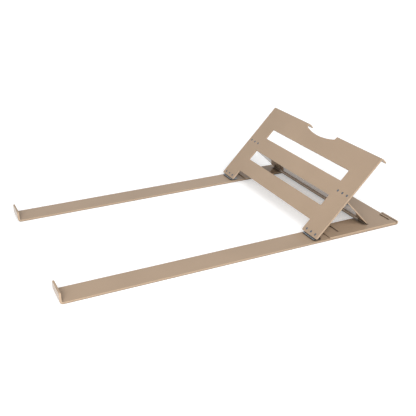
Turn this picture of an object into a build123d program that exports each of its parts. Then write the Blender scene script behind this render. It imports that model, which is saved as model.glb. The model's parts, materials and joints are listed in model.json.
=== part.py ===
"""Folding laptop stand of painted sheet metal.

Two flat arms with front hooks carry a U-shaped base plate. A wide panel leans back on two foot
hinges, and a strut hangs from two more hinges behind it and stands over cross slots in the plate.
Millimetres. +X is the user's right, +Y points to the rear, +Z is up, and the floor is Z = 0.
The origin is on the floor, under the middle of the stand.
"""
import os
from math import asin, atan2, cos, degrees, hypot, radians, sin

from build123d import *

os.makedirs("parts", exist_ok=True)

# Sheet thicknesses
arm_thick = 1.5
plate_thick = 1.0
panel_thick = 1.2
strut_thick = 1.0
leaf_thick = 0.4
edge_round = 0.2

# Arms: lengths are taken from the foot hinge axis
arm_reach = 199.1
arm_tail = 79.95
arm_inset = 0.1
arm_width = 20.0
hook_height = 8.55
hook_bend_inside = 1.0
hook_corner = 1.5
lip_height = 2.8
lip_bend_inside = 0.3

# Rubber pads under the arms
pad_thick = 0.3
pad_width = 13.0
pad_length = 42.0
pad_corner = 2.0
pad_end_gap = 12.0

# Base plate: lengths are taken from the foot hinge axis
plate_front = 13.45
plate_bar = 25.55
plate_overhang = 1.5
plate_corner = 1.0
slot_width = 2.2
front_slot_margin = 11.3
rear_slot_margin = 2.8

# Panel: heights run up the slope from the foot hinge axis
panel_width = 160.0
panel_height = 81.3
panel_flange = 6.2
panel_bend_inside = 0.4
panel_angle = 45.43
leg_overhang = 0.3
leg_corner = 1.5
crossbar_edge = 11.35
window_margin = 20.9
window_height = 10.3
window_corner = 0.4
lower_window = 30.5
upper_window = 55.4
notch_width = 42.0
notch_side = 3.3
notch_depth = 6.55
notch_corner = 1.5

# Strut: lengths run down the strut from its hinge axis
strut_length = 37.0
strut_inset = 1.5
tab_inset = 6.6
strut_corner = 1.0
tab_width = 11.3
tab_length = 1.2
strut_row = 42.25

# Hinges: one size for the foot hinges and the strut hinges
hinge_length = 15.0
barrel_diameter = 1.6
pin_diameter = 0.8
pin_end = 0.25
knuckle_count = 5
knuckle_chamfer = 0.2
leaf_reach = 6.9
leaf_corner = 1.2

# Rivets
rivet_row = 3.75
rivet_pitch = 5.9
rivet_count = 3
rivet_shank = 1.1
rivet_head = 2.1
rivet_dome = 0.4
rivet_flare = 0.3
sink_angle = 90

# Clearances
pin_clearance = 0.05
rivet_clearance = 0.05
knuckle_clearance = 0.25
barrel_clearance = 0.1
leaf_clearance = 0.1
tab_clearance = 0.2
tip_clearance = 0.1
lip_clearance = 0.4

# Levels and places that follow from the sizes above
hinge_y = (arm_reach - arm_tail) / 2
arm_top = pad_thick + arm_thick
plate_top = arm_top + plate_thick
barrel_radius = barrel_diameter / 2
hinge_z = arm_top + barrel_radius + barrel_clearance
arm_outer = panel_width / 2 - arm_inset
arm_middle = arm_outer - arm_width / 2
plate_rear = arm_tail - arm_thick - lip_clearance
strut_top = panel_width / 2 - strut_inset
strut_foot = arm_outer - tab_inset
strut_drop = barrel_radius + barrel_clearance
strut_axis = strut_row - rivet_row
strut_start = barrel_radius + barrel_clearance
knuckle_width = (hinge_length - (knuckle_count - 1) * knuckle_clearance) / knuckle_count
leaf_start = barrel_radius + leaf_clearance
rivet_xs = [(i - (rivet_count - 1) / 2) * rivet_pitch for i in range(rivet_count)]
rivet_hole = rivet_shank / 2 + rivet_clearance
rivet_sink = rivet_hole + rivet_flare
sides = {"left": -1, "right": 1}


# The strut hinge axis, from the foot hinge axis
panel_slope = radians(panel_angle)
strut_axis_y = strut_axis * cos(panel_slope) + strut_drop * sin(panel_slope)
strut_axis_z = strut_axis * sin(panel_slope) - strut_drop * cos(panel_slope)

# The strut's slope: its lower front corner stays just above the plate, over the middle slots
tip_drop = strut_axis_z + hinge_z - plate_top - tip_clearance
tip_radius = hypot(strut_length, strut_thick / 2)
strut_slope = asin(tip_drop / tip_radius) - atan2(strut_thick / 2, strut_length)
middle_slot = strut_axis_y + strut_length * cos(strut_slope)

# Planes: x is the stand's X, y runs along the sheet, z is the sheet's normal
panel_normal = (0, -sin(panel_slope), cos(panel_slope))
strut_normal = (0, sin(strut_slope), cos(strut_slope))
foot_point = (0, hinge_y, hinge_z)
strut_point = (0, hinge_y + strut_axis_y, hinge_z + strut_axis_z)
panel_plane = Plane(origin=foot_point, x_dir=(1, 0, 0), z_dir=panel_normal)
strut_panel_plane = Plane(origin=strut_point, x_dir=(1, 0, 0), z_dir=panel_normal)
strut_plane = Plane(origin=strut_point, x_dir=(1, 0, 0), z_dir=strut_normal)
arm_plane = Plane(origin=foot_point, x_dir=(1, 0, 0), z_dir=(0, 0, 1))


def at(plane, x, y, z, flip=False):
    """A location on a plane, with its z along the plane's normal, or against it when flipped."""
    turn = 180 if flip else 0
    return plane.location * Location((x, y, z), (turn, 0, 0))


def save(piece, name):
    """Labels a finished piece and writes it under its node's name."""
    piece.label = name
    export_step(piece, f"parts/{name}.step")


# Arms: a strip with a hook in front and a low lip at the rear
for side, sign in sides.items():
    with BuildPart() as arm:
        with BuildSketch(Plane.YZ.offset(sign * arm_middle)) as arm_profile:
            with BuildLine() as arm_outline:
                FilletPolyline(
                    (hinge_y + arm_tail, pad_thick + lip_height),
                    (hinge_y + arm_tail, pad_thick),
                    (hinge_y - arm_reach, pad_thick),
                    (hinge_y - arm_reach, pad_thick + hook_height),
                    radius=[lip_bend_inside + arm_thick, hook_bend_inside + arm_thick],
                )
                offset(amount=arm_thick, side=Side.RIGHT)
            make_face()
        extrude(amount=arm_width / 2, both=True)
        hook_edges = arm.edges().filter_by(Axis.Y).group_by(Axis.Z)[-1]
        fillet(hook_edges, hook_corner)
        rims = arm.faces().sort_by(Axis.X)
        fillet(rims[0].edges() + rims[-1].edges(), edge_round)
        with Locations(
            *[
                at(Plane.XY, sign * arm_middle + x, hinge_y + rivet_row, pad_thick, flip=True)
                for x in rivet_xs
            ]
        ):
            CounterSinkHole(rivet_hole, rivet_sink, counter_sink_angle=sink_angle)
    save(arm.part, f"{side}_arm")

# Rubber pads: two under each arm, set in from its ends
pad_middles = {
    "front": hinge_y - arm_reach + pad_end_gap + pad_length / 2,
    "rear": hinge_y + arm_tail - pad_end_gap - pad_length / 2,
}
for side, sign in sides.items():
    for end, middle in pad_middles.items():
        with BuildPart() as pad:
            with BuildSketch() as pad_outline:
                with Locations((sign * arm_middle, middle)):
                    RectangleRounded(pad_width, pad_length, pad_corner)
            extrude(amount=pad_thick)
        save(pad.part, f"{side}_{end}_pad")

# Base plate: a U on top of the arms, with a pair of cross slots for each angle of the panel
slot_length = tab_width + 2 * tab_clearance
slot_middle = strut_foot - tab_width / 2
plate_width = 2 * arm_outer
plate_depth = plate_rear - plate_front
opening_width = plate_width - 2 * (arm_width + plate_overhang)
opening_depth = plate_depth - plate_bar
with BuildPart() as base_plate:
    with BuildSketch(Plane.XY.offset(arm_top)) as plate_outline:
        with Locations((0, hinge_y + plate_front)):
            Rectangle(plate_width, plate_depth, align=(Align.CENTER, Align.MIN))
            Rectangle(opening_width, opening_depth, align=(Align.CENTER, Align.MIN), mode=Mode.SUBTRACT)
        fillet(plate_outline.vertices(), plate_corner)
        for row in (plate_front + front_slot_margin, middle_slot, plate_rear - rear_slot_margin):
            with Locations(*[(sign * slot_middle, hinge_y + row) for sign in sides.values()]):
                Rectangle(slot_length, slot_width, mode=Mode.SUBTRACT)
    extrude(amount=plate_thick)
    fillet(base_plate.faces().sort_by(Axis.Z)[-1].edges(), edge_round)
save(base_plate.part, "base_plate")

# Panel: a leaning sheet with its top edge folded back, two windows, two legs and a finger notch
leg_gap = panel_width - 2 * (arm_inset + arm_width + leg_overhang)
window_length = panel_width - 2 * window_margin
hole_xs = [sign * arm_middle + x for sign in sides.values() for x in rivet_xs]
outward = Axis(foot_point, panel_normal)
upward = Axis(foot_point, panel_plane.y_dir)
with BuildPart() as panel:
    with BuildSketch(Plane(origin=foot_point, x_dir=panel_plane.y_dir, z_dir=(1, 0, 0))) as panel_profile:
        with BuildLine() as panel_outline:
            FilletPolyline(
                (leaf_start, panel_thick),
                (panel_height, panel_thick),
                (panel_height, panel_thick - panel_flange),
                radius=panel_bend_inside + panel_thick,
            )
            offset(amount=panel_thick, side=Side.RIGHT)
        make_face()
    extrude(amount=panel_width / 2, both=True)
    with BuildSketch(panel_plane) as panel_cuts:
        with Locations((0, lower_window), (0, upper_window)):
            RectangleRounded(window_length, window_height, window_corner)
        with Locations((0, crossbar_edge)):
            Rectangle(leg_gap, crossbar_edge, align=(Align.CENTER, Align.MAX))
    extrude(amount=panel_thick, mode=Mode.SUBTRACT)
    with BuildSketch(panel_plane) as notch:
        with BuildLine() as notch_outline:
            notch_left = (-notch_width / 2, panel_height - notch_side)
            notch_right = (notch_width / 2, panel_height - notch_side)
            above = panel_height + panel_thick
            ThreePointArc(notch_left, (0, panel_height - notch_depth), notch_right)
            Polyline(notch_right, (notch_width / 2, above), (-notch_width / 2, above), notch_left)
        make_face()
        fillet(notch.vertices().group_by(Axis.Y)[0], notch_corner)
    extrude(amount=panel_flange, both=True, mode=Mode.SUBTRACT)
    leg_edges = panel.edges().filter_by(outward).group_by(upward)[0]
    fillet(leg_edges, leg_corner)
    front_face = panel.faces().filter_by(outward).sort_by(outward)[-1]
    bend_line = front_face.edges().filter_by(Axis.X).group_by(upward)[-1]
    fillet(front_face.edges() - bend_line, edge_round)
    for row in (rivet_row, strut_row):
        with Locations(*[at(panel_plane, x, row, 0) for x in hole_xs]):
            Hole(rivet_hole, 2 * panel_thick)
save(panel.part, "panel")

# Strut: a plate that narrows towards its foot, with a tab at each end of its lower edge
with BuildPart() as strut:
    with BuildSketch(strut_plane.offset(-strut_thick / 2)) as strut_outline:
        with BuildLine():
            half = [
                (strut_top, strut_start),
                (strut_foot, strut_length),
                (strut_foot - tab_width, strut_length),
                (strut_foot - tab_width, strut_length - tab_length),
            ]
            other = [(-x, y) for x, y in reversed(half)]
            Polyline(*half, *other, close=True)
        make_face()
        fillet(strut_outline.vertices().group_by(Axis.Y)[0], strut_corner)
    extrude(amount=strut_thick)
    strut_faces = strut.faces().sort_by(Axis(strut_point, strut_normal))
    fillet(strut_faces[0].edges() + strut_faces[-1].edges(), edge_round)
    with Locations(*[at(strut_plane, x, rivet_row, strut_thick / 2) for x in hole_xs]):
        CounterSinkHole(rivet_hole, rivet_sink, counter_sink_angle=sink_angle)
save(strut.part, "strut")


def build_leaf(name, plane, seat, knuckles, sink):
    """A hinge leaf: knuckles round the pin axis and a flat plate with rivet holes.

    The plane's origin is on the pin axis, its y runs along the leaf, and the leaf lies on the
    level seat above that plane. The holes are sunk from "above", from "below" or not at all.
    """
    knuckle_xs = [(k - (knuckle_count - 1) / 2) * (knuckle_width + knuckle_clearance) for k in knuckles]
    with BuildPart() as leaf:
        with BuildSketch(*[Plane(plane.from_local_coords((x, 0, 0)), z_dir=(1, 0, 0)) for x in knuckle_xs]):
            Circle(barrel_radius)
        extrude(amount=knuckle_width / 2, both=True)
        chamfer(leaf.edges().filter_by(GeomType.CIRCLE), knuckle_chamfer)
        with BuildSketch(plane.offset(seat)) as plate:
            with Locations((0, leaf_start)):
                Rectangle(hinge_length, leaf_reach - leaf_start, align=(Align.CENTER, Align.MIN))
            fillet(plate.vertices().group_by(Axis.Y)[-1], leaf_corner)
            with Locations(*[(x, 0) for x in knuckle_xs]):
                Rectangle(knuckle_width - 2 * knuckle_chamfer, leaf_start, align=(Align.CENTER, Align.MIN))
        extrude(amount=leaf_thick)
        with BuildSketch(Plane(plane.origin, z_dir=(1, 0, 0))):
            Circle(pin_diameter / 2 + pin_clearance)
        extrude(amount=hinge_length, both=True, mode=Mode.SUBTRACT)
        level = seat if sink == "below" else seat + leaf_thick
        with Locations(*[at(plane, x, rivet_row, level, flip=sink == "below") for x in rivet_xs]):
            if sink:
                CounterSinkHole(rivet_hole, rivet_sink, counter_sink_angle=sink_angle)
            else:
                Hole(rivet_hole)
    save(leaf.part, name)


def build_pin(name, point):
    """A hinge pin with chamfered ends that stand a little out of the barrel."""
    with BuildPart() as pin:
        with BuildSketch(Plane(point, z_dir=(1, 0, 0))):
            Circle(pin_diameter / 2)
        extrude(amount=hinge_length / 2 + pin_end, both=True)
        chamfer(pin.edges().filter_by(GeomType.CIRCLE), pin_end)
    save(pin.part, name)


def build_rivet(grip, domed):
    """A rivet with its head on Z = 0, its shank downwards and its end flared flush in a sink."""
    shank = rivet_shank / 2
    flare = shank + rivet_flare
    with BuildPart() as rivet:
        with BuildSketch(Plane.XZ) as half_section:
            with BuildLine():
                if domed:
                    dome_radius = (rivet_head**2 / 4 + rivet_dome**2) / (2 * rivet_dome)
                    RadiusArc((0, rivet_dome), (rivet_head / 2, 0), dome_radius)
                    Line((rivet_head / 2, 0), (shank, 0))
                    Line((shank, 0), (shank, rivet_flare - grip))
                else:
                    Line((0, 0), (flare, 0))
                    Line((flare, 0), (shank, -rivet_flare))
                    Line((shank, -rivet_flare), (shank, rivet_flare - grip))
                Line((shank, rivet_flare - grip), (flare, -grip))
                Line((flare, -grip), (0, -grip))
                Line((0, -grip), (0, rivet_dome if domed else 0))
            make_face()
        revolve(axis=Axis.Z)
    return rivet.part


def place_rivets(name, rivet, plane, row, level, flip=False):
    """One row of rivets with their heads on a level above a plane."""
    with BuildPart() as rivets:
        with Locations(*[at(plane, x, row, level, flip) for x in rivet_xs]):
            add(rivet)
    save(rivets.part, name)


# Hinges: the outer knuckles belong to the arm leaves and to the panel leaves of the strut hinges
outer_knuckles = range(0, knuckle_count, 2)
inner_knuckles = range(1, knuckle_count, 2)
panel_rivet = build_rivet(panel_thick + leaf_thick, domed=True)
strut_rivet = build_rivet(strut_thick + leaf_thick, domed=True)
arm_rivet = build_rivet(arm_thick + leaf_thick, domed=False)
strut_leaf_seat = -strut_thick / 2 - leaf_thick
for side, sign in sides.items():
    shift = Location((sign * arm_middle, 0, 0))
    foot_arm = Plane(shift * arm_plane.location)
    foot_panel = Plane(shift * panel_plane.location)
    back_panel = Plane(shift * strut_panel_plane.location)
    back_strut = Plane(shift * strut_plane.location)

    foot = f"{side}_foot_hinge"
    build_leaf(f"{foot}_arm_leaf", foot_arm, arm_top - hinge_z, outer_knuckles, "above")
    build_leaf(f"{foot}_panel_leaf", foot_panel, -leaf_thick, inner_knuckles, "below")
    build_pin(f"{foot}_pin", foot_panel.origin)
    place_rivets(f"{foot}_arm_rivets", arm_rivet, foot_arm, rivet_row, arm_top - hinge_z + leaf_thick)
    place_rivets(f"{foot}_panel_rivets", panel_rivet, foot_panel, rivet_row, panel_thick)

    back = f"{side}_strut_hinge"
    build_leaf(f"{back}_panel_leaf", back_panel, strut_drop - leaf_thick, outer_knuckles, "below")
    build_leaf(f"{back}_strut_leaf", back_strut, strut_leaf_seat, inner_knuckles, None)
    build_pin(f"{back}_pin", back_panel.origin)
    place_rivets(f"{back}_panel_rivets", panel_rivet, back_panel, rivet_row, strut_drop + panel_thick)
    place_rivets(f"{back}_strut_rivets", strut_rivet, back_strut, rivet_row, strut_leaf_seat, flip=True)

print(f"strut slope {degrees(strut_slope):.3f} degrees, hinge axis at Y {hinge_y:.3f}, Z {hinge_z:.3f}")
print(f"strut axis at Y {strut_point[1]:.4f}, Z {strut_point[2]:.4f}")
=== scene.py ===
# %% [markdown]
# # A folding laptop stand in satin taupe paint
# The stand is bent from sheet metal: two long arms with hooks, a U-shaped base plate, a leaning
# panel and a strut, held together by small steel hinges and rivets. All of its shapes come from
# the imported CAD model, which is loaded first and never moved. Blender's work here is the look of
# it: the camera, the light, and a finish for each kind of surface.

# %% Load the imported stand
import json
import math
import bpy
from mathutils import Euler, Matrix, Vector

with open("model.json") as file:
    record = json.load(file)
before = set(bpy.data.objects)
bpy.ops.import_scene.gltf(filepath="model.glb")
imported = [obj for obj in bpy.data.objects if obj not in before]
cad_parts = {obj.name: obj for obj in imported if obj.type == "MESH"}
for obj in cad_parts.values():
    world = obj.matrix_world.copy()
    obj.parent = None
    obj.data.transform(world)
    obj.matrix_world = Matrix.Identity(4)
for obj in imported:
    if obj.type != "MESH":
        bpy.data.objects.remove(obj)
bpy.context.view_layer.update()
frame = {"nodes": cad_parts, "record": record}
nodes = frame["nodes"]
scene = bpy.context.scene
print("pieces of the stand:", len(nodes))

# %% [markdown]
# ## The camera
# The photograph looks down on the stand from its right side, a little from the front. A camera
# could be placed by eye, but straight edges that run along the three axes give its place, its
# turn and its lens by calculation, so those numbers are simply written here. Blender's camera
# looks along its own -Z, so a tilt of 90 degrees would look level and less looks down. The photo
# is turned by a small part of a degree, and that roll comes last, about the camera's own axis.

# %% Camera
CAMERA_PLACE = (0.45591, -0.20971, 0.23663)
LEVEL = 90.0
LOOK_DOWN = 24.3078
TURN = 64.7212
ROLL = -0.2794
LENS = 57.497
SENSOR = 36.0
NEAREST_SEEN = 0.01

camera_data = bpy.data.cameras.new("photo_camera")
camera_data.sensor_width = SENSOR
camera_data.lens = LENS
camera_data.clip_start = NEAREST_SEEN
camera = bpy.data.objects.new("photo_camera", camera_data)
camera.location = CAMERA_PLACE
level_turn = Euler((math.radians(LEVEL - LOOK_DOWN), 0, math.radians(TURN))).to_matrix()
camera.rotation_euler = (level_turn @ Matrix.Rotation(math.radians(ROLL), 3, "Z")).to_euler()
scene.collection.objects.link(camera)
scene.camera = camera
scene.view_settings.view_transform = "Standard"
print("camera at", CAMERA_PLACE, "with a lens of", LENS)

# %% [markdown]
# ## Helpers for materials
# Every finish below is a node tree with one Principled shader. The first helper makes that start.
# The second adds a node and wires its inputs, and the third maps one span of values to another, so
# that each finish reads like a recipe.

# %% Helpers for node trees
def start_material(name):
    material = bpy.data.materials.new(name)
    material.use_nodes = True
    tree = material.node_tree
    return material, tree, tree.nodes["Principled BSDF"]


def add_node(tree, kind, values=None, **settings):
    node = tree.nodes.new(kind)
    for setting, value in settings.items():
        setattr(node, setting, value)
    for socket, value in (values or {}).items():
        if isinstance(value, bpy.types.NodeSocket):
            tree.links.new(value, node.inputs[socket])
        else:
            node.inputs[socket].default_value = value
    return node


def add_range(tree, value, span, result):
    sockets = {"Value": value}
    sockets["From Min"], sockets["From Max"] = span
    sockets["To Min"], sockets["To Max"] = result
    return add_node(tree, "ShaderNodeMapRange", sockets).outputs["Result"]


# %% [markdown]
# ## White that lights nothing
# The studio is white, and more light on the stand would only bleach its paint. The Light Path node
# knows what a ray is for. A ray from the camera, or one that a shiny or clear surface sends on,
# shows a picture of the studio and may see pure white. All other rays carry light, and for those
# the studio keeps a plain level. This helper gives 1 for the first kind and 0 for the second.

# %% Share of rays that show a picture
WHITE = (1.0, 1.0, 1.0, 1.0)
SHARE_SPAN = (0.0, 1.0)


def larger_of(tree, one, other):
    node = add_node(tree, "ShaderNodeMath", {0: one, 1: other}, operation="MAXIMUM")
    return node.outputs["Value"]


def seen_share(tree):
    rays = add_node(tree, "ShaderNodeLightPath").outputs
    sent_on = larger_of(tree, rays["Is Glossy Ray"], rays["Is Transmission Ray"])
    return larger_of(tree, rays["Is Camera Ray"], sent_on)


# %% [markdown]
# ## The floor
# The stand lies on white studio paper. A plane with a pale diffuse shader catches the soft shadow,
# and a little glow, only in the picture of it, lifts the paper to white.

# %% Floor
FLOOR_SIZE = 12.0
PAPER = (0.85, 0.85, 0.85, 1.0)
PAPER_ROUGHNESS = 0.9
PAPER_SHINE = 0.0
PAPER_GLOW = 0.34

bpy.ops.object.select_all(action="DESELECT")
bpy.ops.mesh.primitive_plane_add(size=FLOOR_SIZE, location=(0, 0, 0))
floor = bpy.context.object
floor.name = "studio_floor"

paper, paper_tree, paper_shader = start_material("studio_paper")
paper_shader.inputs["Base Color"].default_value = PAPER
paper_shader.inputs["Roughness"].default_value = PAPER_ROUGHNESS
paper_shader.inputs["Specular IOR Level"].default_value = PAPER_SHINE
paper_shader.inputs["Emission Color"].default_value = WHITE
glow = add_range(paper_tree, seen_share(paper_tree), SHARE_SPAN, (0.0, PAPER_GLOW))
paper_tree.links.new(glow, paper_shader.inputs["Emission Strength"])
floor.data.materials.append(paper)
print("floor:", floor.name, "wide", FLOOR_SIZE)

# %% [markdown]
# ## The room around it
# A studio lights softly from all sides, and its walls should look white, also in reflections. The
# world gives both: the picture of it is plain white, and the light from it has the softer strength
# that sets how bright the shadows are.

# %% World
SKY_LIGHT = 0.24
SKY_PICTURE = 1.0

world = bpy.data.worlds.new("white_studio")
world.use_nodes = True
scene.world = world
world_tree = world.node_tree
background = world_tree.nodes["Background"]
background.inputs["Color"].default_value = WHITE
sky = add_range(world_tree, seen_share(world_tree), SHARE_SPAN, (SKY_LIGHT, SKY_PICTURE))
world_tree.links.new(sky, background.inputs["Strength"])
print("world light:", SKY_LIGHT)

# %% [markdown]
# ## Distant lamps
# The shadow under the panel is tight, and the plate behind the panel is lit although the panel
# leans over it. So the main light comes from the right, and a weaker one from the front fills the
# panel. Near lamps alone would leave a bright patch and a grey far floor, and the photo's floor is
# even. Sun lamps light all of it alike, and a wide angle makes their shadows as soft as those of
# large softboxes. Satin paint would mirror the strong one as white glare when the panel lies flat,
# so that lamp is hidden from glossy rays, and the paint mirrors only the white room.

# %% Distant lamps
DISTANT_LAMPS = {
    "side_light": {"from": (0.80, 0.0, 0.48), "angle": 55.0, "strength": 2.7, "mirrored": False},
    "front_light": {"from": (-0.10, -0.60, 0.70), "angle": 100.0, "strength": 0.7, "mirrored": True},
}


def turn_towards(direction):
    return Vector(direction).to_track_quat("Z", "Y").to_euler()


for lamp_name, lamp in DISTANT_LAMPS.items():
    lamp_data = bpy.data.lights.new(lamp_name, "SUN")
    lamp_data.angle = math.radians(lamp["angle"])
    lamp_data.energy = lamp["strength"]
    lamp_object = bpy.data.objects.new(lamp_name, lamp_data)
    lamp_object.rotation_euler = turn_towards(lamp["from"])
    lamp_object.visible_glossy = lamp["mirrored"]
    scene.collection.objects.link(lamp_object)
    print(lamp_name, "strength", lamp["strength"])

# %% [markdown]
# ## A near softbox
# The near arm is a little lighter than the far arm. Only a lamp close by does that, because its
# light falls off over the width of the stand. A small area lamp stands beside the camera for it.
# An area lamp shines along its own -Z, so its Z axis is turned to point away from the stand. It is
# hidden from glossy rays for the same reason as the strong distant lamp.

# %% Near softbox
SOFTBOX_PLACE = Vector((0.50, -0.35, 0.30))
SOFTBOX_AIM = Vector((0.03, 0.0, 0.02))
SOFTBOX_SIZE = 0.25
SOFTBOX_WATTS = 2.2

box_data = bpy.data.lights.new("near_softbox", "AREA")
box_data.shape = "SQUARE"
box_data.size = SOFTBOX_SIZE
box_data.energy = SOFTBOX_WATTS
softbox = bpy.data.objects.new("near_softbox", box_data)
softbox.location = SOFTBOX_PLACE
softbox.rotation_euler = turn_towards(SOFTBOX_PLACE - SOFTBOX_AIM)
softbox.visible_glossy = False
scene.collection.objects.link(softbox)
print("softbox watts:", SOFTBOX_WATTS)

# %% [markdown]
# ## Helpers for patterns
# Real paint and steel are never one flat colour. A noise on Object coordinates varies them without
# ever repeating, as an image would, and it stays on a piece when the piece moves. A ramp turns a
# pattern into a colour, and a blend lays one colour over another.

# %% Helpers for patterns
def place_of(tree):
    return add_node(tree, "ShaderNodeTexCoord").outputs["Object"]


def add_noise(tree, place, scale, detail):
    node = add_node(tree, "ShaderNodeTexNoise", {"Vector": place, "Scale": scale, "Detail": detail})
    return node.outputs["Fac"]


def add_ramp(tree, factor, span, colors):
    ramp = add_node(tree, "ShaderNodeValToRGB", {"Fac": factor})
    for element, position, color in zip(ramp.color_ramp.elements, span, colors):
        element.position = position
        element.color = color
    return ramp.outputs["Color"]


def add_blend(tree, share, under, over, kind="RGBA"):
    node = add_node(tree, "ShaderNodeMix", {"Factor": share, "A": under, "B": over}, data_type=kind)
    return node.outputs["Result"]


# %% [markdown]
# ## Taupe powder coat: the skin
# The sheet is sprayed with paint powder and baked, which leaves a satin skin with a very fine
# orange-peel surface. The tone varies in two ways: a slow drift over a hand's width, and a fine
# grain like that of fused powder. Two noises make them, a large and a small one, and one ramp turns
# their mix into a colour.

# %% Paint skin
TAUPE_DARK = (0.365, 0.268, 0.188, 1.0)
TAUPE_LIGHT = (0.405, 0.298, 0.210, 1.0)
TONE_SPAN = (0.35, 0.65)
DRIFT_SCALE = 18.0
DRIFT_DETAIL = 2.0
GRAIN_SCALE = 2600.0
GRAIN_DETAIL = 3.0
GRAIN_SHARE = 0.35

paint, paint_tree, paint_shader = start_material("taupe_powder_coat")
paint_place = place_of(paint_tree)
drift = add_noise(paint_tree, paint_place, DRIFT_SCALE, DRIFT_DETAIL)
grain = add_noise(paint_tree, paint_place, GRAIN_SCALE, GRAIN_DETAIL)
tone = add_blend(paint_tree, GRAIN_SHARE, drift, grain, kind="FLOAT")
skin = add_ramp(paint_tree, tone, TONE_SPAN, (TAUPE_DARK, TAUPE_LIGHT))
print("paint skin nodes:", len(paint_tree.nodes))

# %% [markdown]
# ## Taupe powder coat: thin edges
# Baked paint pulls thin over a sheet's edges, so the steel darkens it there. That could be painted
# by hand on a UV map, but the Bevel node finds such places by itself. It gives a softened normal,
# and where that differs from the true one, the surface is close to an edge.

# %% Thin edges
TAUPE_EDGE = (0.31, 0.228, 0.160, 1.0)
EDGE_RADIUS = 0.00035
EDGE_SAMPLES = 6
EDGE_SPAN = (0.99, 0.86)
EDGE_SHARE = 0.8

rounded = add_node(paint_tree, "ShaderNodeBevel", {"Radius": EDGE_RADIUS}, samples=EDGE_SAMPLES)
straight = add_node(paint_tree, "ShaderNodeNewGeometry")
alike = add_node(
    paint_tree,
    "ShaderNodeVectorMath",
    {0: rounded.outputs["Normal"], 1: straight.outputs["Normal"]},
    operation="DOT_PRODUCT",
)
edge = add_range(paint_tree, alike.outputs["Value"], EDGE_SPAN, (0.0, EDGE_SHARE))
coat = add_blend(paint_tree, edge, skin, TAUPE_EDGE)
print("paint nodes with edges:", len(paint_tree.nodes))

# %% [markdown]
# ## Taupe powder coat: painted shade in corners
# The slots and the places where two sheets meet get painted shade. The Ambient Occlusion node
# measures how open a point is to its surroundings, up to a set reach. A helper turns that into a
# share of painted shade, which falls to nothing where the point is open, and the hinges and rivets
# use it again.

# %% Painted shade in corners
# Near-black colour of the painted shade in the slots and where two sheets meet
CORNER_SHADE = (0.055, 0.042, 0.031, 1.0)
CORNER_REACH = 0.005
CORNER_OPEN = (0.30, 0.72)
CORNER_SHARE = 0.85
OPEN_SAMPLES = 8


# Ambient occlusion turned into a share of painted shade, largest where a point is most closed in
def painted_shade_share(tree, reach, open_span, most):
    node = add_node(tree, "ShaderNodeAmbientOcclusion", {"Distance": reach}, samples=OPEN_SAMPLES)
    return add_range(tree, node.outputs["AO"], open_span, (most, 0.0))


# Painted shade: closed-in corners of the paint are blended towards the near-black colour
corner_shade = painted_shade_share(paint_tree, CORNER_REACH, CORNER_OPEN, CORNER_SHARE)
shaded_coat = add_blend(paint_tree, corner_shade, coat, CORNER_SHADE)
print("paint nodes with corners:", len(paint_tree.nodes))

# %% [markdown]
# ## Taupe powder coat: the shine
# The baked skin is smooth. It hardly shines from above, but at a flat angle it mirrors the floor, and
# that lights up the strut's underside. A rougher skin would leave it dull, so the roughness is low,
# and a low index of refraction keeps the shine weak everywhere else. The grain makes it a little
# uneven. A third noise bumps the surface by hundredths of a millimetre, as orange peel.

# %% Paint shine and peel
GRAIN_SPAN = (0.3, 0.7)
PAINT_ROUGHNESS = (0.05, 0.10)
PAINT_INDEX = 1.20
PEEL_SCALE = 1500.0
PEEL_DETAIL = 1.0
PEEL_HEIGHT = 0.00004
PEEL_STRENGTH = 0.12


def add_bump(tree, height, distance, strength):
    node = add_node(tree, "ShaderNodeBump", {"Strength": strength, "Distance": distance, "Height": height})
    return node.outputs["Normal"]


def wire_surface(tree, shader, color, roughness, normal):
    tree.links.new(color, shader.inputs["Base Color"])
    tree.links.new(roughness, shader.inputs["Roughness"])
    tree.links.new(normal, shader.inputs["Normal"])


paint_gloss = add_range(paint_tree, grain, GRAIN_SPAN, PAINT_ROUGHNESS)
peel = add_noise(paint_tree, paint_place, PEEL_SCALE, PEEL_DETAIL)
peel_bump = add_bump(paint_tree, peel, PEEL_HEIGHT, PEEL_STRENGTH)
wire_surface(paint_tree, paint_shader, shaded_coat, paint_gloss, peel_bump)
paint_shader.inputs["IOR"].default_value = PAINT_INDEX
print("paint nodes in all:", len(paint_tree.nodes))

# %% [markdown]
# ## Hinge steel
# The hinges are bare steel strip, rolled round a drawn pin. Rolling and drawing leave fine lines
# along the pin, which run along X on this stand, so a noise is stretched in X by a Mapping node.
# The gaps between the knuckles are darkened with painted shade, which the painted-shade share places.

# %% Steel
STEEL_DARK = (0.12, 0.13, 0.14, 1.0)
STEEL_LIGHT = (0.30, 0.32, 0.345, 1.0)
# Near-black colour of the painted shade in the gaps between the knuckles
GAP_SHADE = (0.03, 0.03, 0.033, 1.0)
LINE_STRETCH = (120.0, 2400.0, 2400.0)
LINE_SCALE = 1.0
LINE_DETAIL = 4.0
LINE_SPAN = (0.3, 0.7)
LINE_HEIGHT = 0.00002
LINE_STRENGTH = 0.15
GAP_REACH = 0.0006
GAP_OPEN = (0.35, 0.85)
GAP_SHADE_SHARE = 0.85
STEEL_ROUGHNESS = (0.28, 0.42)
METAL = 1.0

steel, steel_tree, steel_shader = start_material("hinge_strip_steel")
steel_place = {"Vector": place_of(steel_tree), "Scale": LINE_STRETCH}
stretched = add_node(steel_tree, "ShaderNodeMapping", steel_place).outputs["Vector"]
lines = add_noise(steel_tree, stretched, LINE_SCALE, LINE_DETAIL)
strip = add_ramp(steel_tree, lines, LINE_SPAN, (STEEL_DARK, STEEL_LIGHT))
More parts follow.
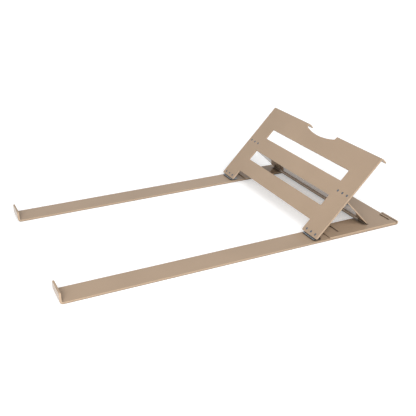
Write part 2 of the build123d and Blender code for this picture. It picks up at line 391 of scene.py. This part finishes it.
# Painted shade: the closed-in gaps between the knuckles are blended towards near-black
gap_shade = painted_shade_share(steel_tree, GAP_REACH, GAP_OPEN, GAP_SHADE_SHARE)
gap_shaded_strip = add_blend(steel_tree, gap_shade, strip, GAP_SHADE)
steel_gloss = add_range(steel_tree, lines, LINE_SPAN, STEEL_ROUGHNESS)
line_bump = add_bump(steel_tree, lines, LINE_HEIGHT, LINE_STRENGTH)
wire_surface(steel_tree, steel_shader, gap_shaded_strip, steel_gloss, line_bump)
steel_shader.inputs["Metallic"].default_value = METAL
print("steel nodes:", len(steel_tree.nodes))

# %% [markdown]
# ## Rivet heads
# Each head is steel that a snap tool has pressed into a dome, so it is smoother than the strip
# but dimpled. A ring of painted shade darkens it where it meets the paint. The same painted-shade
# share draws that shade, and a small noise gives the dimples.

# %% Rivets
RIVET_STEEL = (0.09, 0.10, 0.112, 1.0)
RIVET_PALE = (0.15, 0.163, 0.18, 1.0)
DOME_SPAN = (0.35, 0.65)
DIMPLE_SCALE = 1400.0
DIMPLE_DETAIL = 2.0
DIMPLE_SPAN = (0.3, 0.7)
DIMPLE_HEIGHT = 0.00003
DIMPLE_STRENGTH = 0.2
# Dark colour of the painted shade where the rivet head meets the paint
RIVET_RIM_SHADE = (0.05, 0.045, 0.04, 1.0)
RING_OPEN = (0.45, 0.9)
RING_SHARE = 0.9
RIVET_ROUGHNESS = (0.25, 0.38)

rivet, rivet_tree, rivet_shader = start_material("rivet_head_steel")
dimples = add_noise(rivet_tree, place_of(rivet_tree), DIMPLE_SCALE, DIMPLE_DETAIL)
dome = add_ramp(rivet_tree, dimples, DOME_SPAN, (RIVET_STEEL, RIVET_PALE))
# Painted shade: the rim where the head meets the paint is blended towards the dark colour
rim_shade = painted_shade_share(rivet_tree, GAP_REACH, RING_OPEN, RING_SHARE)
rim_shaded_dome = add_blend(rivet_tree, rim_shade, dome, RIVET_RIM_SHADE)
rivet_gloss = add_range(rivet_tree, dimples, DIMPLE_SPAN, RIVET_ROUGHNESS)
rivet_bump = add_bump(rivet_tree, dimples, DIMPLE_HEIGHT, DIMPLE_STRENGTH)
wire_surface(rivet_tree, rivet_shader, rim_shaded_dome, rivet_gloss, rivet_bump)
rivet_shader.inputs["Metallic"].default_value = METAL
print("rivet nodes:", len(rivet_tree.nodes))

# %% [markdown]
# ## Rubber pads
# Thin non-slip pads are stuck under the arms. They show only from below, as black sheet with a
# fine cast grain. Small cells of a Voronoi texture give the grain, and rubber hardly shines.

# %% Rubber
RUBBER_DARK = (0.018, 0.018, 0.018, 1.0)
RUBBER_PALE = (0.040, 0.039, 0.037, 1.0)
CELL_SCALE = 900.0
CELL_COLOR_SPAN = (0.1, 0.7)
CELL_GLOSS_SPAN = (0.0, 0.8)
CELL_HEIGHT = 0.00005
CELL_STRENGTH = 0.3
RUBBER_ROUGHNESS = (0.62, 0.8)

rubber, rubber_tree, rubber_shader = start_material("pad_rubber")
rubber_place = {"Vector": place_of(rubber_tree), "Scale": CELL_SCALE}
cells = add_node(rubber_tree, "ShaderNodeTexVoronoi", rubber_place).outputs["Distance"]
cast = add_ramp(rubber_tree, cells, CELL_COLOR_SPAN, (RUBBER_DARK, RUBBER_PALE))
rubber_gloss = add_range(rubber_tree, cells, CELL_GLOSS_SPAN, RUBBER_ROUGHNESS)
cell_bump = add_bump(rubber_tree, cells, CELL_HEIGHT, CELL_STRENGTH)
wire_surface(rubber_tree, rubber_shader, cast, rubber_gloss, cell_bump)
print("rubber nodes:", len(rubber_tree.nodes))

# %% [markdown]
# ## Dress the pieces
# The record names a material slot for every piece, so each slot gets its finish, and the loop
# hands it to all pieces of that slot. The solids themselves stay as they are.

# %% Give each piece its finish
finishes = {
    "taupe_paint": paint,
    "hinge_steel": steel,
    "rivet_steel": rivet,
    "pad_rubber": rubber,
}
pieces = frame["record"]["subparts"]
for piece in pieces:
    slots = nodes[piece["node"]].data.materials
    slots.clear()
    slots.append(finishes[piece["material_slot"]])
for slot_name in finishes:
    count = sum(piece["material_slot"] == slot_name for piece in pieces)
    print(slot_name, "on", count, "pieces")
